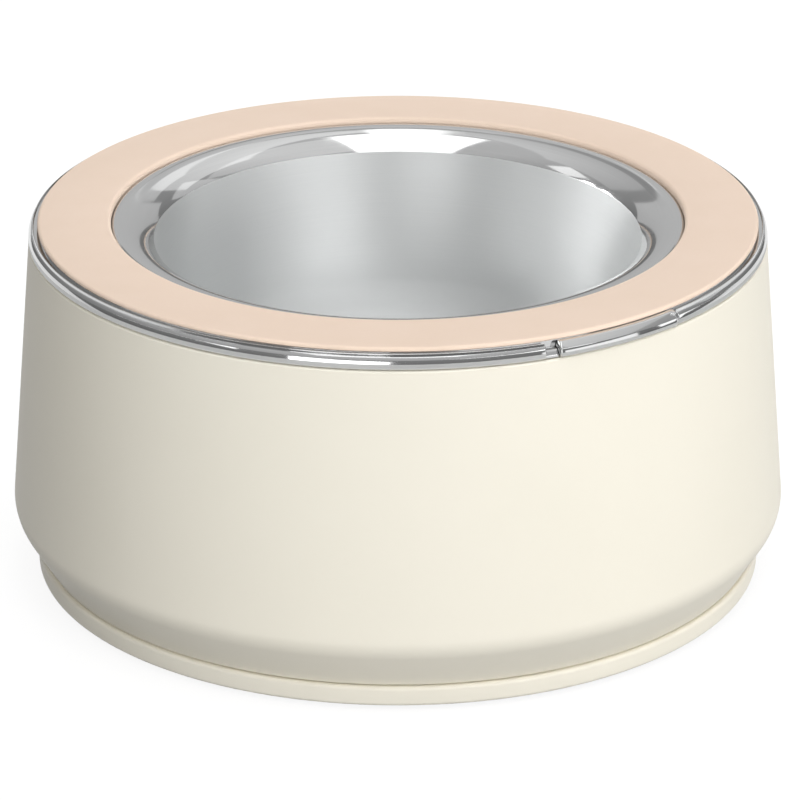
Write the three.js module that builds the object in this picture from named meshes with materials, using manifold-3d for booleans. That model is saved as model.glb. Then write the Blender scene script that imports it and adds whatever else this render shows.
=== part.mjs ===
// Pet bowl: a lift-out steel bowl in a round moulded stand, in millimetres with +Z up.
// The origin is on the floor under the middle of the stand, and the front faces -Y.

import * as THREE from 'three';
import { mergeVertices } from 'three/addons/utils/BufferGeometryUtils.js';
import Module from 'manifold-3d';

const wasm = await Module();
wasm.setup();

// Clearances
const seatGap = 0.3; // between a piece and what it rests on or fits round
const slideGap = 0.4; // between the insert's skirt and the mouth of the stand
const swingGap = 0.6; // between the tab's heel and the ear it turns on

// Stand shell
const beltRadius = 115.25; // where the side and the undercut would meet if not rounded
const beltHeight = 20.8; // of that line above the floor
const beltRound = 10;
const mouthInset = 6.8; // of the mouth's outer edge from the belt
const standTop = 103.1; // height of the mouth's edge above the floor
const shellWall = 2.6;
const mouthWall = 2.8;
const mouthDepth = 14; // of the straight land inside the mouth
const mouthRound = 0.8;

// Base plate, with the plinth that shows below the undercut
const plinthInset = 7; // of the plinth from the belt
const plinthHeight = 5.9;
const plinthLedge = 1.4; // of the plinth beyond the shell's lower edge
const plinthRound = 1.2;
const plateThick = 2.4;
const panelLift = 1.2; // of the middle panel above the plinth's underside
const panelMargin = 3; // between the panel and the screw pads
const ribThick = 1.6; // of the rib that centres the shell
const ribHeight = 3.5; // above the plinth

// Screws and rubber feet
const fixings = 6;
const footRadius = 7;
const footLift = 1; // of the plinth above the floor
const footSink = 1.9; // of a foot in the plate
const footRound = 0.6;
const padWall = 1.2; // round a foot's recess
const screwRadius = 1.5;
const screwLength = 12;
const headRadius = 2.7;
const headHeight = 1.6;
const headSeat = 1.8; // thickness under a screw head
const bossWall = 2.4;
const bossCap = 2; // above a screw's pilot hole
const pilotSpare = 1; // of the pilot hole past the screw's tip
const gussetThick = 2.4;

// Rim band of the insert
const rimProud = 0.1; // of the band beyond the mouth's outer edge
const rimHeight = 4.3;
const rimWidth = 5; // of the bead
const rimRound = 0.8;
const rimLowRound = 0.5;
const ledgeThick = 1.4; // of the ledge that carries the bowl's flange
const ledgeWidth = 7;
const skirtWall = 1.2;
const skirtDepth = 10;
const grooveDepth = 1.3; // of the rolled groove that holds the seal
const grooveLow = 1; // from the skirt's lower edge to the groove
const grooveHigh = 3; // from the bead to the groove

// Top ring
const ringWidth = 21.3;
const ringInset = 2.75; // of the ring's outer edge from the band's outer face
const ringProud = 1.35; // of the ring above the band
const ringRound = 0.9;

// Steel bowl
const sheetThick = 0.9;
const lipDrop = 1.5; // of the lip's crest below the ring's top
const lipWidth = 12.8; // from the ring's inner edge to the crease
const lipFall = 5.3; // from the crest to the crease
const lipFlat = 7.9; // from the lip's outer edge to where its two slopes would meet
const lipRound = 14;
const lipEdgeRound = 1.2;
const creaseRound = 0.6;
const bowlDepth = 50.3; // from the crease to the floor
const bowlLean = 11.3; // how far the wall leans in over that depth
const bowlRound = 16;

// Lift tab and its pocket in the band
const tabFromFront = THREE.MathUtils.degToRad(24.2); // from the front to the tab's free end
const tabLength = 41.5;
const tabProud = 1; // beyond the band's outer face
const pocketDepth = 3;
const notchWidth = 3.9; // of the fingernail gap at the free end
const tabChamfer = 0.5;
const pinRadius = 0.8;
const pinHeadRadius = 1.1;
const pinHeadHeight = 0.5;
const earThick = 0.8;

// Fineness of the facets
const ringSegments = 60;
const smallSegments = 16;
const arcSegments = 6;
const chordError = 0.15;

// Heights of the stand
const plinthBottom = footLift;
const plinthTop = plinthBottom + plinthHeight;
const shellBottom = plinthTop + seatGap;
const ribTop = plinthTop + ribHeight;
const recessTop = plinthBottom + footSink + seatGap;
const headTop = recessTop + headHeight;
const padTop = headTop + seatGap + headSeat;
const bossBottom = padTop + seatGap;
const pilotTop = headTop + screwLength + pilotSpare;
const bossTop = pilotTop + bossCap;

// Radii of the stand
const mouthOuter = beltRadius - mouthInset;
const mouthInner = mouthOuter - mouthWall;
const plinthRadius = beltRadius - plinthInset;
const shellFoot = plinthRadius - plinthLedge;
const ribOuter = shellFoot - shellWall - seatGap;
const recessRadius = footRadius + seatGap;
const padRadius = recessRadius + padWall;
const pilotRadius = screwRadius + seatGap;
const bossRadius = pilotRadius + bossWall;
const fixingCircle = ribOuter - ribThick / 2 - padRadius;
const panelRadius = fixingCircle - padRadius - panelMargin;

// Heights of the insert
const rimBottom = standTop + seatGap;
const rimTop = rimBottom + rimHeight;
const flangeBottom = rimBottom + ledgeThick + seatGap;
const flangeTop = flangeBottom + sheetThick;
const ringBottom = flangeTop + seatGap;
const ringTop = rimTop + ringProud;
const lipTop = ringTop - lipDrop;
const crease = lipTop - lipFall;
const bowlFloor = crease - bowlDepth;
const skirtBottom = rimBottom - skirtDepth;
const grooveBottom = skirtBottom + grooveLow;
const grooveTop = rimBottom - grooveHigh;
const earTop = rimBottom + earThick;

// Radii of the insert
const rimRadius = mouthOuter + rimProud;
const beadInner = rimRadius - rimWidth;
const skirtOuter = mouthInner - slideGap;
const grooveRadius = skirtOuter - grooveDepth;
const ringOuter = rimRadius - ringInset;
const ringInner = ringOuter - ringWidth;
const lipRadius = ringInner - seatGap;
const creaseRadius = ringInner - lipWidth;

// The tab lies along the band, from its free end to the pin
const pocketWall = rimRadius - pocketDepth;
const tabInner = pocketWall + seatGap;
const tabOuter = rimRadius + tabProud;
const heelRadius = (tabOuter - tabInner) / 2;
const pinCircle = tabInner + heelRadius;
const freeAngle = tabFromFront - Math.PI / 2;
const pinAngle = freeAngle + (tabLength - heelRadius) / pinCircle;
const notchAngle = freeAngle - notchWidth / pinCircle;
const pin = polar(pinCircle, pinAngle);

const cream = new THREE.MeshStandardMaterial({ color: '#f1edde', roughness: 0.5, metalness: 0 });
const peach = new THREE.MeshStandardMaterial({ color: '#ead6c6', roughness: 0.65, metalness: 0 });
const polished = new THREE.MeshStandardMaterial({ color: '#cfcfcd', roughness: 0.08, metalness: 1 });
const satin = new THREE.MeshStandardMaterial({ color: '#bfbfbc', roughness: 0.35, metalness: 1 });
const zinc = new THREE.MeshStandardMaterial({ color: '#a9abad', roughness: 0.4, metalness: 1 });
const rubber = new THREE.MeshStandardMaterial({ color: '#d8d3c4', roughness: 0.8, metalness: 0 });

function polar(radius, angle) {
  return new THREE.Vector2(radius * Math.cos(angle), radius * Math.sin(angle));
}

// A chain of corners [radius, height, rounding] as points, with each rounding cut short where its sides are
function rounded(corners) {
  const points = corners.map(([r, z]) => new THREE.Vector2(r, z));
  const last = points.length - 1;
  const sides = points.slice(1).map((point, i) => point.clone().sub(points[i]));
  const turns = corners.map((corner, i) => {
    if (i === 0 || i === last) return 0;
    return Math.atan2(sides[i - 1].cross(sides[i]), sides[i - 1].dot(sides[i]));
  });
  const reach = corners.map(([, , round = 0], i) => round * Math.tan(Math.abs(turns[i]) / 2));
  const room = sides.map((side, i) => Math.min(1, side.length() / (reach[i] + reach[i + 1] || 1)));
  const outline = [];
  points.forEach((point, i) => {
    if (reach[i] === 0) {
      outline.push(point);
      return;
    }
    const cut = reach[i] * Math.min(room[i - 1], room[i]);
    const radius = cut / Math.tan(Math.abs(turns[i]) / 2);
    const start = point.clone().addScaledVector(sides[i - 1].clone().normalize(), -cut);
    const across = sides[i - 1].clone().normalize().rotateAround(new THREE.Vector2(), Math.PI / 2);
    const centre = start.clone().addScaledVector(across, radius * Math.sign(turns[i]));
    const step = 2 * Math.acos(Math.max(0, 1 - chordError / radius));
    const steps = Math.ceil(Math.abs(turns[i]) / step);
    for (let k = 0; k <= steps; k += 1) {
      outline.push(start.clone().rotateAround(centre, (turns[i] * k) / steps));
    }
  });
  return outline;
}

// A sheet of even thickness under a chain of corners that runs in towards the axis
function sheet(corners, thickness) {
  const points = corners.map(([r, z]) => new THREE.Vector2(r, z));
  const last = points.length - 1;
  const sides = points.slice(1).map((point, i) => point.clone().sub(points[i]).normalize());
  const under = corners.map(([, , round = 0], i) => {
    const before = sides[Math.max(i - 1, 0)];
    const after = sides[Math.min(i, last - 1)];
    const mitre = before.clone().add(after).normalize();
    const normal = new THREE.Vector2(-mitre.y, mitre.x);
    const reach = thickness / mitre.dot(before);
    const point = points[i].clone().addScaledVector(normal, reach);
    const grown = before.cross(after) > 0 ? round - thickness : round + thickness;
    return [point.x, point.y, round > 0 ? Math.max(grown, 0) : 0];
  });
  return [...under.reverse(), ...corners];
}

// A chain of corners turned about the upright axis
function turned(corners, segments = ringSegments) {
  return new THREE.LatheGeometry(rounded(corners), segments).rotateX(Math.PI / 2);
}

function disc(radius, bottom, top, segments = smallSegments) {
  return turned([[0, bottom], [radius, bottom], [radius, top], [0, top]], segments);
}

function raised(shape, bottom, top) {
  const settings = { depth: top - bottom, bevelEnabled: false, curveSegments: arcSegments };
  return new THREE.ExtrudeGeometry(shape, settings).translate(0, 0, bottom);
}

// A block along a line out from the axis, between two distances
function spoke(inner, outer, thickness, bottom, top, angle) {
  const block = new THREE.BoxGeometry(outer - inner, thickness, top - bottom);
  return block.translate((inner + outer) / 2, 0, (bottom + top) / 2).rotateZ(angle);
}

function solid(geometry) {
  const bare = geometry.clone();
  bare.deleteAttribute('normal');
  bare.deleteAttribute('uv');
  const merged = mergeVertices(bare);
  const corners = merged.index.array;
  const triangles = [];
  for (let i = 0; i < corners.length; i += 3) {
    const [a, b, c] = corners.slice(i, i + 3);
    if (a !== b && b !== c && c !== a) triangles.push(a, b, c);
  }
  const vertProperties = new Float32Array(merged.attributes.position.array);
  const triVerts = new Uint32Array(triangles);
  return new wasm.Manifold(new wasm.Mesh({ numProp: 3, vertProperties, triVerts }));
}

function geometryOf(body) {
  const { vertProperties, triVerts } = body.getMesh();
  const geometry = new THREE.BufferGeometry();
  geometry.setAttribute('position', new THREE.BufferAttribute(vertProperties, 3));
  geometry.setIndex(new THREE.BufferAttribute(triVerts, 1));
  geometry.computeVertexNormals();
  return geometry;
}

function piece(group, name, geometry, material) {
  const mesh = new THREE.Mesh(geometry, material);
  mesh.name = name;
  group.add(mesh);
  return mesh;
}

const fixingAngles = Array.from({ length: fixings }, (_, i) => ((i + 0.5) * 2 * Math.PI) / fixings);

function atFixing(geometry, angle) {
  const place = polar(fixingCircle, angle);
  return geometry.translate(place.x, place.y, 0);
}

// Outer radius of the shell's side at a height
function sideRadius(height) {
  return mouthOuter + ((beltRadius - mouthOuter) * (standTop - height)) / (standTop - beltHeight);
}

function standShell() {
  const landFoot = standTop - mouthDepth;
  const landStep = sideRadius(landFoot) - shellWall - mouthInner;
  const outer = [
    [shellFoot, shellBottom],
    [beltRadius, beltHeight, beltRound],
    [mouthOuter, standTop, mouthRound],
  ];
  const inner = [
    [mouthInner, standTop],
    [mouthInner, landFoot],
    [mouthInner + landStep, landFoot - landStep],
    [beltRadius - shellWall, beltHeight, beltRound - shellWall],
    [shellFoot - shellWall, shellBottom],
  ];
  const core = solid(turned([
    [0, shellBottom],
    [shellFoot - shellWall / 2, shellBottom],
    [beltRadius - shellWall / 2, beltHeight, beltRound],
    [mouthOuter - mouthWall / 2, standTop],
    [0, standTop],
  ]));
  let shell = solid(turned([...outer, ...inner, outer[0]]));
  for (const angle of fixingAngles) {
    const boss = solid(atFixing(disc(bossRadius, bossBottom, bossTop), angle));
    const gusset = solid(spoke(fixingCircle, beltRadius, gussetThick, ribTop + seatGap, bossTop, angle));
    const pilot = solid(atFixing(disc(pilotRadius, 0, pilotTop), angle));
    shell = shell.add(boss.add(gusset.intersect(core)).subtract(pilot));
  }
  return geometryOf(shell);
}

function basePlate() {
  const plateTop = plinthBottom + plateThick;
  let plate = solid(turned([
    [0, plinthBottom + panelLift],
    [panelRadius, plinthBottom + panelLift],
    [panelRadius + panelLift, plinthBottom],
    [plinthRadius, plinthBottom, plinthRound],
    [plinthRadius, plinthTop, plinthRound],
    [ribOuter, plinthTop],
    [ribOuter, ribTop],
    [ribOuter - ribThick, ribTop],
    [ribOuter - ribThick, plateTop],
    [panelRadius + panelLift, plateTop],
    [panelRadius, plateTop + panelLift],
    [0, plateTop + panelLift],
  ]));
  for (const angle of fixingAngles) {
    const pad = solid(atFixing(disc(padRadius, recessTop, padTop), angle));
    const recess = solid(atFixing(disc(recessRadius, 0, recessTop), angle));
    const counterbore = solid(atFixing(disc(headRadius + seatGap, 0, headTop + seatGap), angle));
    const hole = solid(atFixing(disc(pilotRadius, 0, padTop + seatGap), angle));
    plate = plate.add(pad).subtract(recess).subtract(counterbore).subtract(hole);
  }
  return geometryOf(plate);
}

function baseScrew() {
  return turned([
    [0, recessTop],
    [headRadius, recessTop, headHeight / 3],
    [headRadius, headTop],
    [screwRadius, headTop],
    [screwRadius, headTop + screwLength - screwRadius],
    [0, headTop + screwLength],
  ], smallSegments);
}

function rubberFoot() {
  return turned([
    [0, 0],
    [footRadius, 0, footRound],
    [footRadius, plinthBottom + footSink],
    [0, plinthBottom + footSink],
  ], smallSegments);
}

// The tab as seen from above, or its pocket when grown by a gap, from a start angle to the round heel
function tabOutline(grow, startAngle, chamfer) {
  const inner = tabInner - grow;
  const outer = tabOuter + grow;
  const bevelAngle = startAngle + chamfer / outer;
  const bevelEnd = polar(outer - chamfer, startAngle);
  const shape = new THREE.Shape();
  shape.absarc(0, 0, inner, pinAngle, startAngle, true);
  shape.lineTo(bevelEnd.x, bevelEnd.y);
  shape.absarc(0, 0, outer, bevelAngle, pinAngle, false);
  shape.absarc(pin.x, pin.y, heelRadius + grow, pinAngle, pinAngle + Math.PI, false);
  return shape;
}

function atPin(geometry) {
  return geometry.translate(pin.x, pin.y, 0);
}

// The space over the ear that stays solid, or is left free under the tab's heel when grown
function earBlock(grow, bottom, top) {
  const reach = heelRadius * 3;
  const left = heelRadius + grow;
  const block = new THREE.BoxGeometry(2 * reach, left + reach, top - bottom);
  return atPin(block.translate(0, (reach - left) / 2, (bottom + top) / 2).rotateZ(pinAngle));
}

function rimBand() {
  const skirtInner = skirtOuter - skirtWall;
  const band = solid(turned([
    [beadInner - ledgeWidth, rimBottom],
    [skirtInner, rimBottom],
    [skirtInner, grooveTop + grooveDepth],
    [grooveRadius - skirtWall, grooveTop],
    [grooveRadius - skirtWall, grooveBottom],
    [skirtInner, skirtBottom],
    [skirtOuter, skirtBottom],
    [grooveRadius, grooveBottom],
    [grooveRadius, grooveTop],
    [skirtOuter, grooveTop + grooveDepth],
    [skirtOuter, rimBottom],
    [rimRadius, rimBottom, rimLowRound],
    [rimRadius, rimTop, rimRound],
    [beadInner, rimTop],
    [beadInner, rimBottom + ledgeThick],
    [beadInner - ledgeWidth, rimBottom + ledgeThick],
    [beadInner - ledgeWidth, rimBottom],
  ]));
  const pocket = solid(raised(tabOutline(seatGap, notchAngle, 0), 0, rimTop + seatGap));
  const ear = solid(earBlock(0, 0, earTop));
  const earDisc = solid(atPin(disc(heelRadius, rimBottom, earTop)));
  const hole = solid(atPin(disc(pinRadius + seatGap, 0, earTop + seatGap)));
  return geometryOf(band.subtract(pocket.subtract(ear)).add(earDisc).subtract(hole));
}

function liftTab() {
  const headFloor = rimTop - pinHeadHeight - seatGap;
  const blade = solid(raised(tabOutline(0, freeAngle, tabChamfer), rimBottom + seatGap, rimTop));
  const heelRoom = solid(earBlock(swingGap, 0, earTop + seatGap));
  const hole = solid(atPin(disc(pinRadius + seatGap, 0, rimTop)));
  const headRoom = solid(atPin(disc(pinHeadRadius + seatGap, headFloor, rimTop + seatGap)));
  return geometryOf(blade.subtract(heelRoom).subtract(hole).subtract(headRoom));
}

function tabPin() {
  return atPin(turned([
    [0, rimBottom],
    [pinRadius, rimBottom],
    [pinRadius, rimTop - pinHeadHeight],
    [pinHeadRadius, rimTop - pinHeadHeight],
    [pinHeadRadius, rimTop],
    [0, rimTop],
  ], smallSegments));
}

function seatSeal() {
  const inner = grooveRadius + seatGap;
  const outer = mouthInner - seatGap;
  return turned([
    [inner, grooveBottom + seatGap],
    [outer, grooveBottom + seatGap],
    [outer, grooveTop - seatGap],
    [inner, grooveTop - seatGap],
    [inner, grooveBottom + seatGap],
  ]);
}

function steelBowl() {
  return turned(sheet([
    [beadInner - seatGap, flangeTop],
    [lipRadius, flangeTop],
    [lipRadius, lipTop, lipEdgeRound],
    [lipRadius - lipFlat, lipTop, lipRound],
    [creaseRadius, crease, creaseRound],
    [creaseRadius - bowlLean, bowlFloor, bowlRound],
    [0, bowlFloor],
  ], sheetThick));
}

function topRing() {
  return turned([
    [ringInner, ringBottom],
    [beadInner - seatGap, ringBottom],
    [beadInner - seatGap, rimTop + seatGap],
    [ringOuter, rimTop + seatGap],
    [ringOuter, ringTop, ringRound],
    [ringInner, ringTop, ringRound],
    [ringInner, ringBottom],
  ]);
}

const stand = new THREE.Group();
piece(stand, 'stand_shell', standShell(), cream);
piece(stand, 'base_plate', basePlate(), cream);
fixingAngles.forEach((angle, i) => {
  piece(stand, `base_screw_${i + 1}`, atFixing(baseScrew(), angle), zinc);
  piece(stand, `rubber_foot_${i + 1}`, atFixing(rubberFoot(), angle), rubber);
});

const insert = new THREE.Group();
piece(insert, 'steel_bowl', steelBowl(), satin);
piece(insert, 'rim_band', rimBand(), polished);
piece(insert, 'seat_seal', seatSeal(), rubber);
piece(insert, 'top_ring', topRing(), peach);
piece(insert, 'lift_tab', liftTab(), polished);
piece(insert, 'tab_pin', tabPin(), zinc);

const petBowl = new THREE.Group();
petBowl.add(stand, insert);

export default petBowl;
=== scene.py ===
import math

import bmesh
import bpy
from mathutils import Matrix, Vector


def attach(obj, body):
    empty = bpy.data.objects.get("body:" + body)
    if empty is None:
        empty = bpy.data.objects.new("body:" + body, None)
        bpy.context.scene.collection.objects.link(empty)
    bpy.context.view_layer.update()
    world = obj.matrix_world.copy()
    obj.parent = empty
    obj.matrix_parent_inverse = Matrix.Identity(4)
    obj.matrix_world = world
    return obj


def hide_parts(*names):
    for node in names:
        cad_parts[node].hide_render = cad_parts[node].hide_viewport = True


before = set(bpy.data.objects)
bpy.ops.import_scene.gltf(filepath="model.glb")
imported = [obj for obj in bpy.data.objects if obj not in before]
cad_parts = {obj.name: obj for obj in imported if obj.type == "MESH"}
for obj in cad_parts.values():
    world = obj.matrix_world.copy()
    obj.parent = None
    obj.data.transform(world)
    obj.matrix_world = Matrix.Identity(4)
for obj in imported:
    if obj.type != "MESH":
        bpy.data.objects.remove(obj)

mm = 0.001
scene = bpy.context.scene
scene.view_settings.view_transform = "Standard"
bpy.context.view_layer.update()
print("frame loaded with", len(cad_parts), "CAD nodes")


# camera where the photograph was taken from, worked out from its ellipses and outline
shot = {
    "focalPx": 4650.4,
    "imagePx": 800,
    "middlePx": (397.87, 397.66),  # where the lens axis meets the picture
    "distance": 1389.6,
    "elevation": 22.719,
    "aimHeight": 50,
    "sensor": 36,
}
tilt = math.radians(shot["elevation"])
cameraData = bpy.data.cameras.new("camera")
cameraData.sensor_width = shot["sensor"]
cameraData.lens = shot["sensor"] * shot["focalPx"] / shot["imagePx"]
cameraData.shift_x = 0.5 - shot["middlePx"][0] / shot["imagePx"]
cameraData.shift_y = shot["middlePx"][1] / shot["imagePx"] - 0.5
camera = bpy.data.objects.new("camera", cameraData)
away, rise = shot["distance"] * math.cos(tilt), shot["distance"] * math.sin(tilt)
camera.location = Vector((0, -away, shot["aimHeight"] + rise)) * mm
camera.rotation_euler = (math.pi / 2 - tilt, 0, 0)
scene.collection.objects.link(camera)
scene.camera = camera


def linear(code):  # "#rrggbb" in sRGB to linear colour
    parts = [int(code[i:i + 2], 16) / 255 for i in (1, 3, 5)]
    return [p / 12.92 if p <= 0.04045 else ((p + 0.055) / 1.055) ** 2.4 for p in parts] + [1]


def addNode(tree, kind, inputs=None, **settings):  # a socket among the inputs is linked, anything else is set
    node = tree.nodes.new(kind)
    for name, value in settings.items():
        setattr(node, name, value)
    for name, value in (inputs or {}).items():
        if isinstance(value, bpy.types.NodeSocket):
            tree.links.new(value, node.inputs[name])
        else:
            node.inputs[name].default_value = value
    return node


def newMaterial(name):
    material = bpy.data.materials.new(name)
    material.use_nodes = True
    material.node_tree.nodes.clear()
    return material, material.node_tree


def finishMaterial(tree, inputs):
    shader = addNode(tree, "ShaderNodeBsdfPrincipled", inputs)
    addNode(tree, "ShaderNodeOutputMaterial", {"Surface": shader.outputs["BSDF"]})


perMetre = 1000  # this over a pattern's size in mm is its texture scale
noiseLow, noiseHigh = 0.3, 0.7  # nearly all of a noise texture's values lie between these
mixA, mixB = 6, 7  # the two colour sockets of a Mix node


def spunCoords(tree, width, arc):  # a grain that runs round the axis with no seam, by a line's width and arc
    place = addNode(tree, "ShaderNodeTexCoord").outputs["Object"]
    flat = addNode(tree, "ShaderNodeVectorMath", {
        0: place, 1: (1, 1, 0)}, operation="MULTIPLY").outputs["Vector"]
    radius = addNode(tree, "ShaderNodeVectorMath", {0: flat}, operation="LENGTH").outputs["Value"]
    height = addNode(tree, "ShaderNodeSeparateXYZ", {0: place}).outputs["Z"]
    across = addNode(tree, "ShaderNodeMath", {0: radius, 1: height}, operation="ADD").outputs["Value"]
    lines = addNode(tree, "ShaderNodeMath", {
        0: across, 1: perMetre / width}, operation="MULTIPLY").outputs["Value"]
    heading = addNode(tree, "ShaderNodeVectorMath", {0: flat}, operation="NORMALIZE").outputs["Vector"]
    along = addNode(tree, "ShaderNodeVectorMath", {
        0: heading, "Scale": 1 / arc}, operation="SCALE").outputs["Vector"]
    lift = addNode(tree, "ShaderNodeCombineXYZ", {"Z": lines}).outputs["Vector"]
    return addNode(tree, "ShaderNodeVectorMath", {0: along, 1: lift}, operation="ADD").outputs["Vector"]


# ABS, injection moulded in a finely spark-eroded tool: an even satin cream with a soft, wide sheen
def mouldedAbs():
    look = {"light": "#f5f0e2", "deep": "#f1ecdd", "cloud": 45, "grain": 0.55, "depth": 0.012, "bump": 0.25,
            "rough": (0.44, 0.54), "ior": 1.54, "specular": 0.25}
    material, tree = newMaterial("cream moulded ABS")
    place = addNode(tree, "ShaderNodeTexCoord").outputs["Object"]
    cloud = addNode(tree, "ShaderNodeTexNoise", {
        "Vector": place, "Scale": perMetre / look["cloud"], "Detail": 3})
    colour = addNode(tree, "ShaderNodeMix", {
        0: cloud.outputs["Fac"], mixA: linear(look["deep"]), mixB: linear(look["light"])}, data_type="RGBA")
    # the eroded grain is about 0.1 mm in life, drawn coarser so that it shows
    grain = addNode(tree, "ShaderNodeTexNoise", {
        "Vector": place, "Scale": perMetre / look["grain"], "Detail": 2})
    rough = addNode(tree, "ShaderNodeMapRange", {
        "Value": grain.outputs["Fac"], "From Min": noiseLow, "From Max": noiseHigh,
        "To Min": look["rough"][0], "To Max": look["rough"][1]})
    bump = addNode(tree, "ShaderNodeBump", {
        "Height": grain.outputs["Fac"], "Strength": look["bump"], "Distance": look["depth"] * mm})
    finishMaterial(tree, {
        "Base Color": colour.outputs[2], "Roughness": rough.outputs["Result"], "IOR": look["ior"],
        "Specular IOR Level": look["specular"], "Normal": bump.outputs["Normal"]})
    return material


# silicone, compression moulded: matte and soft to the eye, faintly mottled, with a dry sheen at a low angle
def peachSilicone():
    look = {"light": "#efd9c7", "deep": "#ead3bf", "mottle": 14, "speck": 0.8, "depth": 0.015, "bump": 0.3,
            "rough": (0.56, 0.68), "ior": 1.41, "sheen": 0.05, "sheenRough": 0.4}
    material, tree = newMaterial("peach silicone")
    place = addNode(tree, "ShaderNodeTexCoord").outputs["Object"]
    mottle = addNode(tree, "ShaderNodeTexNoise", {
        "Vector": place, "Scale": perMetre / look["mottle"], "Detail": 4})
    colour = addNode(tree, "ShaderNodeMix", {
        0: mottle.outputs["Fac"], mixA: linear(look["deep"]), mixB: linear(look["light"])}, data_type="RGBA")
    speck = addNode(tree, "ShaderNodeTexNoise", {
        "Vector": place, "Scale": perMetre / look["speck"], "Detail": 3})
    rough = addNode(tree, "ShaderNodeMapRange", {
        "Value": speck.outputs["Fac"], "From Min": noiseLow, "From Max": noiseHigh,
        "To Min": look["rough"][0], "To Max": look["rough"][1]})
    bump = addNode(tree, "ShaderNodeBump", {
        "Height": speck.outputs["Fac"], "Strength": look["bump"], "Distance": look["depth"] * mm})
    finishMaterial(tree, {
        "Base Color": colour.outputs[2], "Roughness": rough.outputs["Result"], "IOR": look["ior"],
        "Sheen Weight": look["sheen"], "Sheen Roughness": look["sheenRough"],
        "Normal": bump.outputs["Normal"]})
    return material


# stainless steel, buffed on a wheel: clear reflections, drawn out a little by hairlines round the bowl
def polishedSteel():
    look = {"light": "#d2d2d2", "deep": "#c8c9c9", "hair": 0.3, "hairArc": 0.5, "depth": 0.002, "bump": 0.15,
            "smear": 9, "smearFrom": (0.35, 0.75), "rough": (0.05, 0.12)}
    material, tree = newMaterial("polished stainless steel")
    # the hairlines are a few hundredths of a mm wide in life, drawn coarser so that they show
    hair = addNode(tree, "ShaderNodeTexNoise", {
        "Vector": spunCoords(tree, look["hair"], look["hairArc"]), "Scale": 1, "Detail": 2})
    colour = addNode(tree, "ShaderNodeMix", {
        0: hair.outputs["Fac"], mixA: linear(look["deep"]), mixB: linear(look["light"])}, data_type="RGBA")
    place = addNode(tree, "ShaderNodeTexCoord").outputs["Object"]
    smear = addNode(tree, "ShaderNodeTexNoise", {
        "Vector": place, "Scale": perMetre / look["smear"], "Detail": 3})
    rough = addNode(tree, "ShaderNodeMapRange", {
        "Value": smear.outputs["Fac"], "From Min": look["smearFrom"][0], "From Max": look["smearFrom"][1],
        "To Min": look["rough"][0], "To Max": look["rough"][1]})
    bump = addNode(tree, "ShaderNodeBump", {
        "Height": hair.outputs["Fac"], "Strength": look["bump"], "Distance": look["depth"] * mm})
    finishMaterial(tree, {
        "Base Color": colour.outputs[2], "Metallic": 1, "Roughness": rough.outputs["Result"],
        "Normal": bump.outputs["Normal"]})
    return material


# stainless steel, spun and satin brushed round the bowl: light spreads into soft fans up and down the wall
def satinSteel(name="satin brushed stainless steel", light="#e2e3e3", deep="#d7d9d9"):
    look = {"grain": 0.35, "grainArc": 0.35, "depth": 0.004, "bump": 0.2, "rough": (0.46, 0.56), "fan": 0.7,
            "fanTurn": 0.25, "rubbed": 0.21, "rubbedFrom": 72, "rubbedTo": 57}
    material, tree = newMaterial(name)
    # the brushing is about 0.05 mm wide in life, drawn coarser so that it shows
    grain = addNode(tree, "ShaderNodeTexNoise", {
        "Vector": spunCoords(tree, look["grain"], look["grainArc"]), "Scale": 1, "Detail": 3})
    colour = addNode(tree, "ShaderNodeMix", {
        0: grain.outputs["Fac"], mixA: linear(deep), mixB: linear(light)}, data_type="RGBA")
    brushed = addNode(tree, "ShaderNodeMapRange", {
        "Value": grain.outputs["Fac"], "From Min": noiseLow, "From Max": noiseHigh,
        "To Min": look["rough"][0], "To Max": look["rough"][1]})
    # food and scrubbing dull the bottom of the basin
    place = addNode(tree, "ShaderNodeTexCoord").outputs["Object"]
    height = addNode(tree, "ShaderNodeSeparateXYZ", {0: place}).outputs["Z"]
    rubbed = addNode(tree, "ShaderNodeMapRange", {
        "Value": height, "From Min": look["rubbedTo"] * mm, "From Max": look["rubbedFrom"] * mm,
        "To Min": look["rubbed"], "To Max": 0})
    rough = addNode(tree, "ShaderNodeMath", {
        0: brushed.outputs["Result"], 1: rubbed.outputs["Result"]}, operation="ADD")
    bump = addNode(tree, "ShaderNodeBump", {
        "Height": grain.outputs["Fac"], "Strength": look["bump"], "Distance": look["depth"] * mm})
    tangent = addNode(tree, "ShaderNodeTangent", direction_type="RADIAL", axis="Z")
    finishMaterial(tree, {
        "Base Color": colour.outputs[2], "Metallic": 1, "Roughness": rough.outputs["Value"],
        "Anisotropic": look["fan"], "Anisotropic Rotation": look["fanTurn"],
        "Tangent": tangent.outputs["Tangent"], "Normal": bump.outputs["Normal"]})
    return material


# steel, bright zinc plated: pale grey with a faint crystalline unevenness
def zincPlate():
    look = {"light": "#b4b6b8", "deep": "#9b9da0", "crystal": 0.9, "depth": 0.01, "bump": 0.15,
            "rough": (0.28, 0.46)}
    material, tree = newMaterial("zinc plated steel")
    place = addNode(tree, "ShaderNodeTexCoord").outputs["Object"]
    crystal = addNode(tree, "ShaderNodeTexVoronoi", {"Vector": place, "Scale": perMetre / look["crystal"]})
    colour = addNode(tree, "ShaderNodeMix", {
        0: crystal.outputs["Distance"], mixA: linear(look["deep"]), mixB: linear(look["light"])},
        data_type="RGBA")
    rough = addNode(tree, "ShaderNodeMapRange", {
        "Value": crystal.outputs["Distance"], "To Min": look["rough"][0], "To Max": look["rough"][1]})
    bump = addNode(tree, "ShaderNodeBump", {
        "Height": crystal.outputs["Distance"], "Strength": look["bump"], "Distance": look["depth"] * mm})
    finishMaterial(tree, {
        "Base Color": colour.outputs[2], "Metallic": 1, "Roughness": rough.outputs["Result"],
        "Normal": bump.outputs["Normal"]})
    return material


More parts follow.
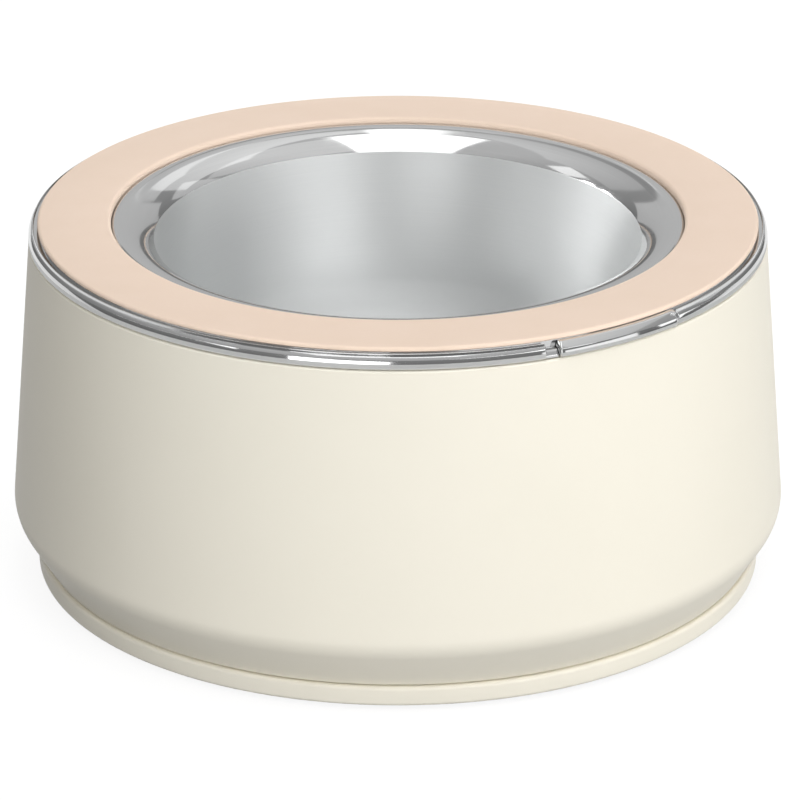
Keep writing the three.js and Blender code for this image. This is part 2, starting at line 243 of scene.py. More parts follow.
# thermoplastic rubber, moulded: dull, slightly greyer than the plastic, with a fine skin and a little dust
def softRubber():
    look = {"light": "#dcd7c9", "deep": "#cec9b9", "dust": 3, "skin": 0.5, "depth": 0.03, "bump": 0.4,
            "rough": (0.7, 0.86), "ior": 1.5}
    material, tree = newMaterial("soft thermoplastic rubber")
    place = addNode(tree, "ShaderNodeTexCoord").outputs["Object"]
    dust = addNode(tree, "ShaderNodeTexNoise", {
        "Vector": place, "Scale": perMetre / look["dust"], "Detail": 4})
    colour = addNode(tree, "ShaderNodeMix", {
        0: dust.outputs["Fac"], mixA: linear(look["deep"]), mixB: linear(look["light"])}, data_type="RGBA")
    skin = addNode(tree, "ShaderNodeTexNoise", {
        "Vector": place, "Scale": perMetre / look["skin"], "Detail": 2})
    rough = addNode(tree, "ShaderNodeMapRange", {
        "Value": dust.outputs["Fac"], "From Min": noiseLow, "From Max": noiseHigh,
        "To Min": look["rough"][0], "To Max": look["rough"][1]})
    bump = addNode(tree, "ShaderNodeBump", {
        "Height": skin.outputs["Fac"], "Strength": look["bump"], "Distance": look["depth"] * mm})
    finishMaterial(tree, {
        "Base Color": colour.outputs[2], "Roughness": rough.outputs["Result"], "IOR": look["ior"],
        "Normal": bump.outputs["Normal"]})
    return material


cream, peach, bright = mouldedAbs(), peachSilicone(), polishedSteel()
satin, zinc, rubber = satinSteel(), zincPlate(), softRubber()
# greyer than the basin: painted shade, a darker steel that dims the lower facets' reflection of the white
# floor
shadedSteel = satinSteel("stainless steel greyed for painted shade", "#c9c9c8", "#bebfbe")
print("materials made")


def roundCorners(corners, closed=True, chord=0.006):  # corners are (radius, height, rounding) in mm
    spots = [Vector(c[:2]) for c in corners]
    count = len(spots)
    ends = () if closed else (0, count - 1)
    rounds = [0 if i in ends else (corners[i][2:] or (0,))[0] for i in range(count)]
    sides = [spots[(i + 1) % count] - spots[i] for i in range(count)]
    turns = [sides[i - 1].angle_signed(sides[i], 0) if sides[i - 1].length * sides[i].length else 0
             for i in range(count)]
    reach = [rounds[i] * math.tan(abs(turns[i]) / 2) for i in range(count)]
    room = [min(1, sides[i].length / (reach[i] + reach[(i + 1) % count] or 1)) for i in range(count)]
    points = []
    for i, spot in enumerate(spots):
        if reach[i] < 1e-9:
            points.append(spot)
            continue
        cut = reach[i] * min(room[i - 1], room[i])
        radius = cut / math.tan(abs(turns[i]) / 2)
        start = spot - sides[i - 1].normalized() * cut
        end = spot + sides[i].normalized() * cut
        middle = spot + ((start - spot) + (end - spot)).normalized() * math.hypot(cut, radius)
        steps = max(2, math.ceil(abs(turns[i]) / (2 * math.acos(max(0, 1 - chord / radius)))))
        first, sweep = start - middle, (start - middle).angle_signed(end - middle, 0)
        for k in range(steps + 1):
            angle = -sweep * k / steps
            points.append(middle + Vector((first.x * math.cos(angle) - first.y * math.sin(angle),
                                           first.x * math.sin(angle) + first.y * math.cos(angle))))
    return [tuple(p) for p in points]


def sheetCorners(top, thickness):  # a sheet of even thickness under corners that run in to the axis
    spots = [Vector(c[:2]) for c in top]
    sides = [(b - a).normalized() for a, b in zip(spots, spots[1:])]
    under = []
    for i, spot in enumerate(spots):
        before, after = sides[max(i - 1, 0)], sides[min(i, len(sides) - 1)]
        mitre = (before + after).normalized()
        low = spot + Vector((-mitre.y, mitre.x)) * (thickness / mitre.dot(before))
        grown = (top[i][2:] or (0,))[0]
        inner = before.x * after.y - before.y * after.x > 0
        under.append((low.x, low.y, max(0, grown + (-thickness if inner else thickness)) if grown else 0))
    return list(top) + under[::-1]


def newTree(name, inputs, output):
    tree = bpy.data.node_groups.new(name, "GeometryNodeTree")
    for socket, kind in inputs.items():
        tree.interface.new_socket(socket, in_out="INPUT", socket_type="NodeSocket" + kind)
    tree.interface.new_socket(output, in_out="OUTPUT", socket_type="NodeSocketGeometry")
    return tree


# Geometry Nodes: a profile of points carried round the upright axis, as on a lathe
def turningTree():
    poleWeld = 0.002  # mm within which the points of a pole are one
    tree = newTree("turning", {
        "Profile": "Geometry", "Segments": "Int", "Path radius": "Float", "Material": "Material"}, "Turned")
    given = addNode(tree, "NodeGroupInput").outputs
    back = addNode(tree, "ShaderNodeMath", {
        0: given["Path radius"], 1: -1}, operation="MULTIPLY").outputs["Value"]
    shift = addNode(tree, "ShaderNodeCombineXYZ", {"X": back}).outputs["Vector"]
    laid = addNode(tree, "GeometryNodeTransform", {
        "Geometry": given["Profile"], "Translation": shift, "Rotation": (math.pi / 2, 0, 0)})
    profile = addNode(tree, "GeometryNodeMeshToCurve", {"Mesh": laid.outputs["Geometry"]}).outputs["Curve"]
    path = addNode(tree, "GeometryNodeCurvePrimitiveCircle", {
        "Resolution": given["Segments"], "Radius": given["Path radius"]}).outputs["Curve"]
    turned = addNode(tree, "GeometryNodeCurveToMesh", {"Curve": path, "Profile Curve": profile})
    poles = addNode(tree, "GeometryNodeMergeByDistance", {
        "Geometry": turned.outputs["Mesh"], "Distance": poleWeld * mm}).outputs["Geometry"]
    real = addNode(tree, "GeometryNodeRealizeInstances", {"Geometry": poles}).outputs["Geometry"]
    dressed = addNode(tree, "GeometryNodeSetMaterial", {"Geometry": real, "Material": given["Material"]})
    addNode(tree, "NodeGroupOutput", {0: dressed.outputs["Geometry"]})
    return tree


# Geometry Nodes: one made shape set out evenly round the axis, each copy facing outwards
def ringTree():
    tree = newTree("ring of copies", {
        "Shape": "Geometry", "Count": "Int", "Radius": "Float", "First angle": "Float",
        "Material": "Material"}, "Copies")
    given = addNode(tree, "NodeGroupInput").outputs
    step = addNode(tree, "ShaderNodeMath", {
        0: 2 * math.pi, 1: given["Count"]}, operation="DIVIDE").outputs["Value"]
    index = addNode(tree, "GeometryNodeInputIndex").outputs["Index"]
    angle = addNode(tree, "ShaderNodeMath", {
        0: index, 1: step, 2: given["First angle"]}, operation="MULTIPLY_ADD")
    facing = addNode(tree, "ShaderNodeCombineXYZ", {"Z": angle.outputs["Value"]}).outputs["Vector"]
    start = addNode(tree, "ShaderNodeCombineXYZ", {"Z": given["First angle"]}).outputs["Vector"]
    circle = addNode(tree, "GeometryNodeMeshCircle", {"Vertices": given["Count"], "Radius": given["Radius"]})
    places = addNode(tree, "GeometryNodeTransform", {"Geometry": circle.outputs["Mesh"], "Rotation": start})
    copies = addNode(tree, "GeometryNodeInstanceOnPoints", {
        "Points": places.outputs["Geometry"], "Instance": given["Shape"], "Rotation": facing})
    real = addNode(tree, "GeometryNodeRealizeInstances", {
        "Geometry": copies.outputs["Instances"]}).outputs["Geometry"]
    dressed = addNode(tree, "GeometryNodeSetMaterial", {"Geometry": real, "Material": given["Material"]})
    addNode(tree, "NodeGroupOutput", {0: dressed.outputs["Geometry"]})
    return tree


turning, ringOfCopies = turningTree(), ringTree()


def newObject(name, mesh):
    piece = bpy.data.objects.new(name, mesh)
    scene.collection.objects.link(piece)
    return piece


def keepResult(piece):  # the modifiers' result becomes the piece's plain mesh
    result = bpy.data.meshes.new_from_object(piece.evaluated_get(bpy.context.evaluated_depsgraph_get()))
    piece.modifiers.clear()
    piece.data = result
    return piece


def throughTree(piece, tree, sizes):
    modifier = piece.modifiers.new("tree", "NODES")
    modifier.node_group = tree
    for name, value in sizes.items():
        modifier[tree.interface.items_tree[name].identifier] = value
    return keepResult(piece)


fineChord = 0.003  # rounding error in mm on polished pieces, where coarser steps would show in reflections


def turn(name, corners, material, closed=True, segments=256, chord=0.006):
    pathRadius = 60  # of the circle that carries the profile: any size gives the same shape
    points = roundCorners(corners, closed, chord)
    edges = [(i, i + 1) for i in range(len(points) - 1)] + ([(len(points) - 1, 0)] if closed else [])
    mesh = bpy.data.meshes.new(name)
    mesh.from_pydata([(r * mm, 0, z * mm) for r, z in points], edges, [])
    sizes = {"Segments": segments, "Path radius": pathRadius * mm, "Material": material}
    return throughTree(newObject(name, mesh), turning, sizes)


fixings = {"count": 6, "circle": 94.65, "firstAngle": math.radians(30)}


def setRound(piece, material):  # a copy at each of the screws
    return throughTree(piece, ringOfCopies, {
        "Count": fixings["count"], "Radius": fixings["circle"] * mm, "First angle": fixings["firstAngle"],
        "Material": material})


def cutAway(piece, other, operation="DIFFERENCE"):  # a boolean, applied, and the other shape thrown away
    modifier = piece.modifiers.new("cut", "BOOLEAN")
    modifier.object, modifier.operation, modifier.solver = other, operation, "EXACT"
    keepResult(piece)
    bpy.data.objects.remove(other)
    return piece


def joined(piece, *others):  # closed shells of one piece in one mesh
    shape = bmesh.new()
    for part in (piece, *others):
        shape.from_mesh(part.data)
    shape.to_mesh(piece.data)
    shape.free()
    for part in others:
        bpy.data.objects.remove(part)
    return piece


def finishPiece(piece, body, nodes, sharp=35):  # normals out, smooth but for true edges, on to its body
    weld = 0.0005  # mm between points that are one
    shape = bmesh.new()
    shape.from_mesh(piece.data)
    bmesh.ops.remove_doubles(shape, verts=shape.verts, dist=weld * mm)
    bmesh.ops.recalc_face_normals(shape, faces=shape.faces)
    shape.to_mesh(piece.data)
    shape.free()
    piece.data.shade_smooth()
    piece.data.set_sharp_from_angle(angle=math.radians(sharp))
    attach(piece, body)
    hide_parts(*nodes)
    print("made", piece.name, len(piece.data.polygons), "faces")


# stand shell: flared side, rolled-under belly, straight land in the mouth, six screw bosses on gussets
def makeStandShell():
    size = {"foot": 106.85, "footZ": 7.2, "belt": 115.215, "beltZ": 20.8, "beltRound": 10, "mouth": 108.45,
            "top": 103.1, "wall": 2.6, "land": 105.65, "landZ": 89.1, "stepR": 107.01, "stepZ": 87.74,
            "boss": 4.2, "pilot": 1.8, "bossLow": 7.2, "bossTop": 19.8, "pilotTop": 17.8,
            "gusset": 1.2, "gussetIn": 3.4, "gussetLow": 10.7, "gussetFoot": 12.6, "gussetTip": 17.6}
    shell = turn("standShell", [
        (size["foot"], size["footZ"], 0.4),
        (size["belt"], size["beltZ"], size["beltRound"]),
        (size["mouth"], size["top"], 0.8),
        (size["land"], size["top"], 0.5),
        (size["land"], size["landZ"], 0.6),
        (size["stepR"], size["stepZ"], 1),
        (size["belt"] - size["wall"], size["beltZ"], size["beltRound"] - size["wall"]),
        (size["foot"] - size["wall"], size["footZ"], 0.4),
    ], cream)
    boss = turn("boss", [
        (size["pilot"], size["bossLow"], 0.3),
        (size["boss"], size["bossLow"], 0.4),
        (size["boss"], size["bossTop"], 0.8),
        (0, size["bossTop"]),
    ], cream, closed=False, segments=40)
    pilot = turn("pilot", [
        (0, size["pilotTop"]),
        (size["pilot"], size["pilotTop"]),
        (size["pilot"], size["bossLow"], 0.3),
    ], cream, closed=False, segments=40)
    side = [(size["gussetIn"], size["gussetLow"]), (size["gussetFoot"], size["gussetLow"]),
            (size["gussetTip"], size["bossTop"]), (size["gussetIn"], size["bossTop"])]
    corners = [(r * mm, y * mm, z * mm) for y in (-size["gusset"], size["gusset"]) for r, z in side]
    faces = [(0, 1, 2, 3), (7, 6, 5, 4), (0, 4, 5, 1), (1, 5, 6, 2), (2, 6, 7, 3), (3, 7, 4, 0)]
    gusset = newObject("gusset", bpy.data.meshes.new("gusset"))
    gusset.data.from_pydata(corners, [], faces)
    bosses = setRound(joined(boss, pilot, gusset), cream)
    finishPiece(joined(shell, bosses), "stand", ["stand_shell"])


# base plate: plinth ring, raised middle panel, a rib that centres the shell, six pads over the foot recesses
def makeBasePlate():
    size = {"low": 1, "plinth": 108.25, "plinthTop": 6.9, "rib": 103.95, "ribTop": 10.4, "ribIn": 102.35,
            "plateTop": 3.4, "panel": 83.15, "lift": 1.2, "slope": 1.2,
            "gate": (4, 4.4, 5.2, 5.6), "gateLift": 0.8, "pad": 8.5, "padLow": 2.8, "padTop": 6.9,
            "recess": 7.3, "recessTop": 3.2, "bore": 3, "boreTop": 5.1, "hole": 1.8,
            "drillFrom": -1, "drillTo": 9}
    plate = turn("basePlate", [
        (0, size["low"] + size["lift"]),
        (size["gate"][0], size["low"] + size["lift"], 0.2),
        (size["gate"][1], size["low"] + size["gateLift"], 0.2),  # ring round the moulding gate
        (size["gate"][2], size["low"] + size["gateLift"], 0.2),
        (size["gate"][3], size["low"] + size["lift"], 0.2),
        (size["panel"], size["low"] + size["lift"], 0.5),
        (size["panel"] + size["slope"], size["low"], 0.5),
        (size["plinth"], size["low"], 1.2),
        (size["plinth"], size["plinthTop"], 1.2),
        (size["rib"], size["plinthTop"]),
        (size["rib"], size["ribTop"], 0.5),
        (size["ribIn"], size["ribTop"], 0.5),
        (size["ribIn"], size["plateTop"], 0.8),
        (size["panel"] + size["slope"], size["plateTop"], 0.5),
        (size["panel"], size["plateTop"] + size["lift"], 0.5),
        (0, size["plateTop"] + size["lift"]),
    ], cream, closed=False)
    pad = turn("pads", [
        (0, size["padLow"]),
        (size["pad"], size["padLow"]),
        (size["pad"], size["padTop"], 0.5),
        (0, size["padTop"]),
    ], cream, closed=False, segments=64)
    cutAway(plate, setRound(pad, cream), "UNION")
    hole = turn("holes", [
        (0, size["drillFrom"]),
        (size["recess"], size["drillFrom"]),
        (size["recess"], size["recessTop"]),
        (size["bore"], size["recessTop"]),
        (size["bore"], size["boreTop"]),
        (size["hole"], size["boreTop"]),
        (size["hole"], size["drillTo"]),
        (0, size["drillTo"]),
    ], cream, closed=False, segments=64)
    cutAway(plate, setRound(hole, cream))
    finishPiece(plate, "stand", ["base_plate"])


# rubber feet: low discs with grip rings on the tread
def makeFeet():
    size = {"radius": 7, "height": 2.9, "round": 0.6, "groove": 0.35, "rings": (1.4, 3.4, 5.4),
            "ringFoot": 0.7, "ringTread": 0.4, "ringRound": 0.2}
    corners = [(0, size["groove"])]
    for middle in size["rings"]:
        corners += [
            (middle - size["ringFoot"], size["groove"], size["ringRound"]),
            (middle - size["ringTread"], 0, size["ringRound"]),
            (middle + size["ringTread"], 0, size["ringRound"]),
            (middle + size["ringFoot"], size["groove"], size["ringRound"]),
        ]
    foot = turn("rubberFeet", corners + [
        (size["radius"], size["groove"], size["round"]),
        (size["radius"], size["height"], 0.3),
        (0, size["height"]),
    ], rubber, closed=False, segments=64)
    setRound(foot, rubber)
    finishPiece(foot, "stand", [f"rubber_foot_{i + 1}" for i in range(fixings["count"])],
                sharp=50)


# steel bowl: one pressed sheet, flange under the ring, polished lip down to a crease, satin basin below it
def makeSteelBowl():
    size = {"sheet": 0.9, "flange": 103.25, "flangeTop": 106.0, "lip": 84.2, "lipTop": 107.55,
            "crest": 76.3, "crestRound": 14, "crease": 71.7, "creaseZ": 102.25,
            "floor": 60.4, "floorZ": 51.95, "floorRound": 16, "buffIn": 0.12, "buffLow": 0.2}
    outline = sheetCorners([
        (size["flange"], size["flangeTop"]),
        (size["lip"], size["flangeTop"]),
        (size["lip"], size["lipTop"], 1.2),
        (size["crest"], size["lipTop"], size["crestRound"]),
        (size["crease"], size["creaseZ"], 0.6),
        (size["floor"], size["floorZ"], size["floorRound"]),
        (0, size["floorZ"]),
    ], size["sheet"])
    half = len(outline) // 2
    fromAxis = outline[half:] + outline[:half]
    bowl = turn("steelBowl", fromAxis, satin, closed=False, segments=288, chord=fineChord)
    bowl.data.materials.append(bright)
    beyond, above = (size["crease"] + size["buffIn"]) * mm, (size["creaseZ"] - size["buffLow"]) * mm
    for face in bowl.data.polygons:  # the lip and flange are buffed down to the crease
        if math.hypot(face.center.x, face.center.y) > beyond and face.center.z > above:
            face.material_index = 1
    finishPiece(bowl, "insert", ["steel_bowl"])
    return bowl


def paintLowerShade(piece, beyond, below):  # painted shade: the lower facets get the greyer steel so that they reflect the white floor darker
    piece.data.materials.append(shadedSteel)
    for face in piece.data.polygons:
        if math.hypot(face.center.x, face.center.y) > beyond * mm and face.center.z < below * mm:
            face.material_index = len(piece.data.materials) - 1


tab = {
    "inner": 105.85, "outer": 109.55, "low": 103.7, "top": 107.7, "heel": 1.85, "pinCircle": 107.7,
    "fromFront": 24.2, "length": 41.5, "notch": 3.9, "corner": 0.5, "cornerShare": 0.9,
    "pin": 0.8, "pinHead": 1.1, "headSeat": 0.8, "ear": 1.25, "gap": 0.3,
    "face": [  # inset from the outer face, height over the foot, rounding
        (1.1, 0),
        (0.45, 0, 0.3),
        (0, 0.75, 0.4),
        (0, 1.35, 0.15),
        (0.33, 2.4, 0.2),
        (1.9, 4, 0.5),
        (3, 4),
    ],
    "endLean": 0.25, "backLean": 0.1,  # how far the ends and the back lean in with the face
    "shadeIn": 0.3, "shadeHeight": 1.36,
}
freeAngle = math.radians(tab["fromFront"] - 90)
pinAngle = freeAngle + (tab["length"] - tab["heel"]) / tab["pinCircle"]
notchAngle = freeAngle - tab["notch"] / tab["pinCircle"]
pinPlace = Matrix.Translation(Vector((math.cos(pinAngle), math.sin(pinAngle), 0)) * tab["pinCircle"] * mm)


def rimSpot(along, radius, height):  # a place by its way along the rim from the pin, its radius and height
    angle = pinAngle + along / tab["pinCircle"]
    return radius * math.cos(angle), radius * math.sin(angle), height


def loft(name, rings, material):  # closed rings of equal length, skinned and capped
    mesh = bpy.data.meshes.new(name)
    count = len(rings[0])
    faces = [(k * count + i, k * count + (i + 1) % count,
              (k + 1) * count + (i + 1) % count, (k + 1) * count + i)
             for k in range(len(rings) - 1) for i in range(count)]
    faces += [tuple(range(count))[::-1], tuple(range((len(rings) - 1) * count, len(rings) * count))]
    mesh.from_pydata([Vector(p) * mm for ring in rings for p in ring], [], faces)
    mesh.materials.append(material)
    return newObject(name, mesh)


# an outline carried along the rim, with the edges of its two ends rounded
def sweepBead(name, outline, startAt, endAt, edge, segments):
    radii, heights = [p[0] for p in outline], [p[1] for p in outline]
    midR, midZ = (max(radii) + min(radii)) / 2, (max(heights) + min(heights)) / 2
    halfR, halfZ = max(radii) - midR, max(heights) - midZ
    bends = [math.radians(a) for a in (0, 22.5, 45, 67.5, 90)]
    # distance in from the end, and inset
    ends = [(edge * (1 - math.cos(b)), edge * (1 - math.sin(b))) for b in bends]
    stations = [("start", *e) for e in ends]
    stations += [(k / segments, 0, 0) for k in range(1, segments)]
    stations += [("end", *e) for e in ends[::-1]]
    rings = []
    for where, along, inset in stations:
        ring = []
        for r, z in outline:
            r, z = midR + (r - midR) * (1 - inset / halfR), midZ + (z - midZ) * (1 - inset / halfZ)
            first, last = startAt(r) + edge / r, endAt(r) - edge / r
            if where == "start":
                angle = first + (along - edge) / r
            elif where == "end":
                angle = last - (along - edge) / r
            else:
                angle = first + (last - first) * where
            ring.append((r * math.cos(angle), r * math.sin(angle), z))
        rings.append(ring)
    return loft(name, rings, bright)


def makeEar(low, top, inner):  # tongue of the band that carries the pin
    bend = [math.radians(d) for d in range(-60, 241, 12)]
    end = [(-tab["ear"] * math.cos(a), tab["pinCircle"] + tab["ear"] * math.sin(a)) for a in bend]
    outline = end + [(-end[0][0], inner), (end[0][0], inner)]
    return loft("ear", [[rimSpot(s, r, z) for s, r in outline] for z in (low, top)], bright)


# rim band: facetted bead, ledge under the flange, skirt rolled in for the seal, pocket and ear for the tab
def makeRimBand():
    size = {
        "low": 103.4, "top": 107.7, "outer": 108.55, "pocket": 105.55, "beadIn": 103.55, "ledgeIn": 96.55,
        "ledgeTop": 104.8, "skirtIn": 104.05, "skirtOut": 105.25, "skirtLow": 93.4,
        "groove": 103.95, "grooveLow": 94.4, "grooveTop": 100.4, "grooveSlope": 1.3, "grooveWall": 1.2,
        "bead": [  # inset from the outer face, height over the foot, rounding
            (3.5, 0),
            (0.3, 0, 0.25),
            (0, 0.5, 0.4),
            (0.03, 1.7, 0.1),
            (0.37, 2.75, 0.1),  # a steep facet, then a flatter one up to a small step
            (0.91, 3.47, 0.08),
            (1.12, 3.5, 0.06),
            (1.15, 3.62),  # this point and the next keep the ridge's side flat to the eye
            (1.26, 4.16),
            (1.29, 4.28, 0.08),  # a thin ridge, and a channel behind it under the ring's edge
            (1.5, 4.28, 0.08),
            (1.6, 3.5, 0.1),
            (3.5, 3.5),
        ],
        "catch": [  # the step in the notch, in the same way
            (3.3, 0.1),
            (0.35, 0.1, 0.15),
            (0.35, 0.75, 0.2),
            (1.5, 2.1, 0.3),
            (3.3, 2.3),
        ],
        "beadEnd": 0.35, "catchEnd": 0.15, "catchFrom": 0.1, "catchTo": 0.15, "earTop": 104.2, "earSink": 0.3,
        "shadeIn": 0.1, "shadeHeight": 1.72,
    }
    web = turn("rimBand", [
        (size["ledgeIn"], size["low"], 0.3),
        (size["skirtIn"], size["low"], 0.5),
        (size["skirtIn"], size["grooveTop"] + size["grooveSlope"], 0.5),
        (size["groove"] - size["grooveWall"], size["grooveTop"], 0.5),
        (size["groove"] - size["grooveWall"], size["grooveLow"], 0.5),
        (size["skirtIn"], size["skirtLow"], 0.3),
        (size["skirtOut"], size["skirtLow"], 0.3),
        (size["groove"], size["grooveLow"], 0.5),
        (size["groove"], size["grooveTop"], 0.5),
        (size["skirtOut"], size["grooveTop"] + size["grooveSlope"], 0.5),
        (size["skirtOut"], size["low"]),
        (size["pocket"], size["low"]),
        (size["pocket"], size["top"], 0.25),
        (size["beadIn"], size["top"], 0.4),
        (size["beadIn"], size["ledgeTop"], 0.4),
        (size["ledgeIn"], size["ledgeTop"], 0.3),
    ], bright)

    def fromFoot(corners):
        return [(size["outer"] - inset, size["low"] + height, *rounding)
                for inset, height, *rounding in corners]

    def heelEnd(r):  # the bead starts clear of the tab's round heel
        return pinAngle + math.sqrt(max(0, (tab["heel"] + tab["gap"]) ** 2 - (r - tab["pinCircle"]) ** 2)) / r

    bead = sweepBead("bead", roundCorners(fromFoot(size["bead"]), chord=fineChord), heelEnd,
                     lambda r: notchAngle + 2 * math.pi, size["beadEnd"], 256)
    catch = sweepBead("catch", roundCorners(fromFoot(size["catch"])),
                      lambda r: notchAngle - size["catchFrom"] / r,
                      lambda r: freeAngle - size["catchTo"] / r, size["catchEnd"], 8)
    ear = makeEar(size["low"], size["earTop"], size["pocket"] - size["earSink"])
    band = joined(web, bead, catch, ear)
    # the rim's lower facets in greyer steel: painted shade on their reflection of the floor
    paintLowerShade(band, size["outer"] - size["shadeIn"], size["low"] + size["shadeHeight"])
    finishPiece(band, "insert", ["rim_band"], sharp=40)


# lift tab: a blade along the rim with a facetted face, a round heel on the pin and a square free end
def makeLiftTab():
    steps = 48
    past = 1  # how far the drill runs out of the tab
    run = tab["length"] - tab["heel"]
    face = roundCorners([(inset, tab["low"] + height, *rounding) for inset, height, *rounding in tab["face"]],
                        closed=False)
    corner = [math.radians(a) for a in (90, 72, 54, 36, 18, 0)]
    heel = [2 * math.pi * k / steps for k in range(1, steps // 2 + 1)]
    rings = []
    for inset, z in face:
        ends = tab["endLean"] * inset
        outer, inner = tab["outer"] - inset, tab["inner"] + tab["backLean"] * inset
        middle, half = (outer + inner) / 2, (outer - inner) / 2
        bend = min(tab["corner"], half * tab["cornerShare"])
        flat = [(ends + bend * (1 - math.sin(a)), outer - bend * (1 - math.cos(a))) for a in corner]
        flat += [(ends + bend + (run - ends - bend) * k / steps, outer) for k in range(1, steps + 1)]
        flat += [(run + (tab["heel"] - ends) * math.sin(a), middle + half * math.cos(a)) for a in heel]
        flat += [(run + (ends - run) * k / steps, inner) for k in range(1, steps + 1)]
        rings.append([rimSpot(s - run, r, z) for s, r in flat])
    blade = loft("liftTab", rings, bright)
    hole = turn("hole", [
        (0, tab["low"] - past),
        (tab["pin"] + tab["gap"], tab["low"] - past),
        (tab["pin"] + tab["gap"], tab["top"] - tab["headSeat"]),
        (tab["pinHead"] + tab["gap"], tab["top"] - tab["headSeat"]),
        (tab["pinHead"] + tab["gap"], tab["top"] + past),
        (0, tab["top"] + past),
    ], bright, closed=False, segments=48)
    hole.data.transform(pinPlace)
    # room for the ear under the heel: round the pin, and open to the side that swings past the ear
    room = {"slack": 0.2, "open": 4, "shutFrom": -65, "shutTo": 150, "low": 102, "top": 104.5}
    reach = []
    for degrees in range(-180, 180, 5):
        shut = room["shutFrom"] < degrees < room["shutTo"]
        reach.append((tab["ear"] + room["slack"] if shut else room["open"], math.radians(degrees)))
    under = [[rimSpot(-d * math.sin(a), tab["pinCircle"] + d * math.cos(a), z) for d, a in reach]
             for z in (room["low"], room["top"])]
    cutAway(cutAway(blade, loft("heelRoom", under, bright)), hole)
    # the tab's lower facets in greyer steel: painted shade on their reflection of the floor
    paintLowerShade(blade, tab["outer"] - tab["shadeIn"], tab["low"] + tab["shadeHeight"])
    finishPiece(blade, "tab", ["lift_tab"], sharp=40)


# pin: turned, with a low head flush in the tab
def makePin():
    size = {"low": 103.4, "top": 107.68, "radius": 0.8, "head": 1.1, "headHeight": 0.5}
    pin = turn("tabPin", [
        (0, size["low"]),
        (size["radius"], size["low"], 0.1),
        (size["radius"], size["top"] - size["headHeight"]),
        (size["head"], size["top"] - size["headHeight"], 0.08),
        (size["head"], size["top"], 0.2),
        (0, size["top"]),
    ], bright, closed=False, segments=40)
    pin.data.transform(pinPlace)
    finishPiece(pin, "insert", ["tab_pin"])


# seal: soft band in the skirt's groove, with two lips that grip the mouth of the stand
def makeSeal():
    size = {"inner": 104.25, "body": 104.75, "lip": 105.35, "low": 94.7, "top": 100.1, "lipHeight": 0.9}
    middle = (size["low"] + size["top"]) / 2
    seal = turn("seatSeal", [
        (size["inner"], size["low"], 0.15),
        (size["body"], size["low"], 0.15),
        (size["lip"], size["low"] + size["lipHeight"], 0.3),
        (size["body"], size["low"] + 2 * size["lipHeight"], 0.3),
        (size["body"], middle + size["lipHeight"], 0.3),
        (size["lip"], middle + 2 * size["lipHeight"], 0.3),
        (size["body"], size["top"], 0.15),
        (size["inner"], size["top"], 0.15),
    ], rubber, segments=192)
    finishPiece(seal, "insert", ["seat_seal"])


# top ring: flat soft ring that lies in the flange's channel and overhangs the bead
def makeTopRing():
    size = {"inner": 84.5, "outer": 105.8, "channel": 103.15, "low": 106.05, "overhang": 107.85,
            "top": 109.05, "lipFit": 0.22, "fitLow": 0.8, "fitTop": 1.3}
    ring = turn("topRing", [
        (size["inner"], size["low"], 0.4),
        (size["channel"], size["low"], 0.4),
        (size["channel"], size["overhang"], 0.2),
        (size["outer"], size["overhang"], 0.12),
        (size["outer"], size["top"], 0.9),
        (size["inner"], size["top"], 1.1),
        # a soft edge that touches the lip all round
        (size["inner"] - size["lipFit"], size["low"] + size["fitTop"], 0.3),
        (size["inner"] - size["lipFit"], size["low"] + size["fitLow"], 0.3),
    ], peach, segments=288)
    finishPiece(ring, "ring", ["top_ring"])


makeStandShell()
makeBasePlate()
makeFeet()
steelBowl = makeSteelBowl()
makeRimBand()
makeLiftTab()
makePin()
makeSeal()
makeTopRing()
for name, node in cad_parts.items():
    if name.startswith("base_screw"):
        node.data.materials.clear()
        node.data.materials.append(zinc)
print("pieces made")


# floor: matte paper that bounces little light, white to the eye and in reflections but for a soft shadow
def makeFloor():
    look = {"radius": 6, "sides": 96, "paper": "#404040", "shadow": 0.16, "white": 0.88}
    shape = bmesh.new()
    bmesh.ops.create_circle(shape, cap_ends=True, segments=look["sides"], radius=look["radius"])
    mesh = bpy.data.meshes.new("floor")
    shape.to_mesh(mesh)
    shape.free()
    material, tree = newMaterial("studio paper")
    paper = addNode(tree, "ShaderNodeBsdfDiffuse", {"Color": linear(look["paper"])})
    shade = addNode(tree, "ShaderNodeBsdfDiffuse", {"Color": (look["shadow"],) * 3 + (1,)})
    glow = addNode(tree, "ShaderNodeEmission", {"Color": (1, 1, 1, 1), "Strength": look["white"]})
    pale = addNode(tree, "ShaderNodeAddShader", {0: shade.outputs[0], 1: glow.outputs[0]})
    rays = addNode(tree, "ShaderNodeLightPath").outputs
    seen = addNode(tree, "ShaderNodeMath", {
        0: rays["Is Camera Ray"], 1: rays["Is Glossy Ray"]}, operation="MAXIMUM")
    seen = addNode(tree, "ShaderNodeMath", {
        0: seen.outputs[0], 1: rays["Is Transmission Ray"]}, operation="MAXIMUM")
    mixed = addNode(tree, "ShaderNodeMixShader", {
        0: seen.outputs[0], 1: paper.outputs[0], 2: pale.outputs[0]})
    addNode(tree, "ShaderNodeOutputMaterial", {"Surface": mixed.outputs[0]})
    mesh.materials.append(material)
    newObject("floor", mesh)


bowlOnly = bpy.data.collections.new("lit by the basin cards")
bowlOnly.objects.link(steelBowl)


# a lamp may light everything, only matte surfaces, only metal (a card that shows in it),
# or only the steel bowl (basin)
def softbox(name, place, facing, size, level, lights="all"):  # place in metres; level 1 is a white face
    lamp = bpy.data.lights.new(name, "AREA")
    lamp.shape, lamp.size, lamp.size_y = "RECTANGLE", *size
    lamp.energy = level * math.pi * size[0] * size[1]
    light = bpy.data.objects.new(name, lamp)
    light.location = place
    light.rotation_euler = Vector(facing).to_track_quat("-Z", "Y").to_euler()
    light.visible_glossy, light.visible_diffuse = lights != "matte", lights != "metal"
    if lights == "basin":
        light.light_linking.receiver_collection = bowlOnly
    scene.collection.objects.link(light)


